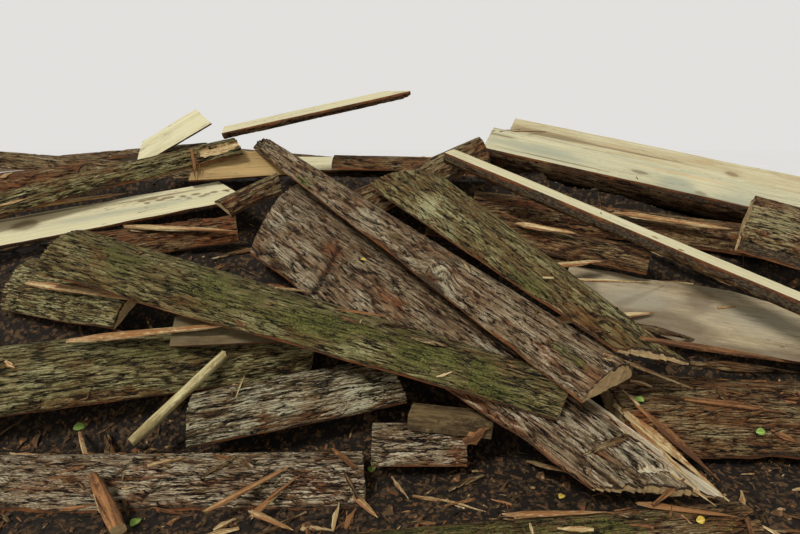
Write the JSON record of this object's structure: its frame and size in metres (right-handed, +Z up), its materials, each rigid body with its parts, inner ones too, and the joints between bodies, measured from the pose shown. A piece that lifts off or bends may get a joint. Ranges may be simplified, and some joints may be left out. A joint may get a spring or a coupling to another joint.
{
  "type": "pile of bark-covered slabwood",
  "caption": "Loose heap of bark-covered sawmill slabs, pale sawn edgings and splinters lying crosswise on level ground.",
  "frame": {"origin": "on the ground under the middle of the heap's front half, where the part's own X, Y and Z are zero", "axes": "+X to the right along the front of the heap, +Y away from the front, +Z up"},
  "size_m": [6.1143, 3.4879, 1.3319],
  "materials": {
    "barked_slab": "rough",
    "pale_sawn_slab": "rough sawn",
    "split_wood": "split and splintered",
    "bark_litter": "loose bark crumbs"
  },
  "bodies": {
    "root": {"heap_core": "bark_litter", "litter_sheet": "bark_litter", "foot_slab": "barked_slab", "foot_stub": "barked_slab", "front_slab": "barked_slab", "low_right_slab": "barked_slab", "wedge_splinter": "split_wood", "left_slope_slab": "barked_slab", "fine_bark_slab": "barked_slab", "ridged_slab": "barked_slab", "lath": "split_wood", "left_under_slab": "pale_sawn_slab", "long_pale_slab": "pale_sawn_slab", "weathered_slab": "pale_sawn_slab", "short_beam": "split_wood", "shaded_slab": "pale_sawn_slab", "middle_back_slab": "pale_sawn_slab", "right_under_slab": "barked_slab", "broad_slab": "barked_slab", "mossy_slab": "barked_slab", "short_slab": "barked_slab", "crossing_slab": "barked_slab", "knotted_slab": "barked_slab", "tipped_slab": "barked_slab", "upper_bark_slab": "barked_slab", "high_pale_slab": "pale_sawn_slab", "right_prop_slab": "barked_slab", "middle_inner_slab": "barked_slab", "right_front_slab": "pale_sawn_slab", "right_back_slab": "pale_sawn_slab", "end_chunk": "barked_slab", "long_edging": "pale_sawn_slab", "pale_tip_slab": "pale_sawn_slab", "front_sticks": "split_wood", "left_strips": "split_wood", "right_strips": "split_wood", "brown_slabs": "barked_slab", "rear_foot_slabs": "barked_slab", "rear_middle_slabs": "barked_slab", "rear_upper_slabs": "barked_slab", "rear_crossing_slabs": "barked_slab", "left_end_slabs": "barked_slab", "right_end_slabs": "barked_slab", "ridge_slabs": "barked_slab", "left_inner_slabs": "barked_slab"}
  },
  "joints": []
}
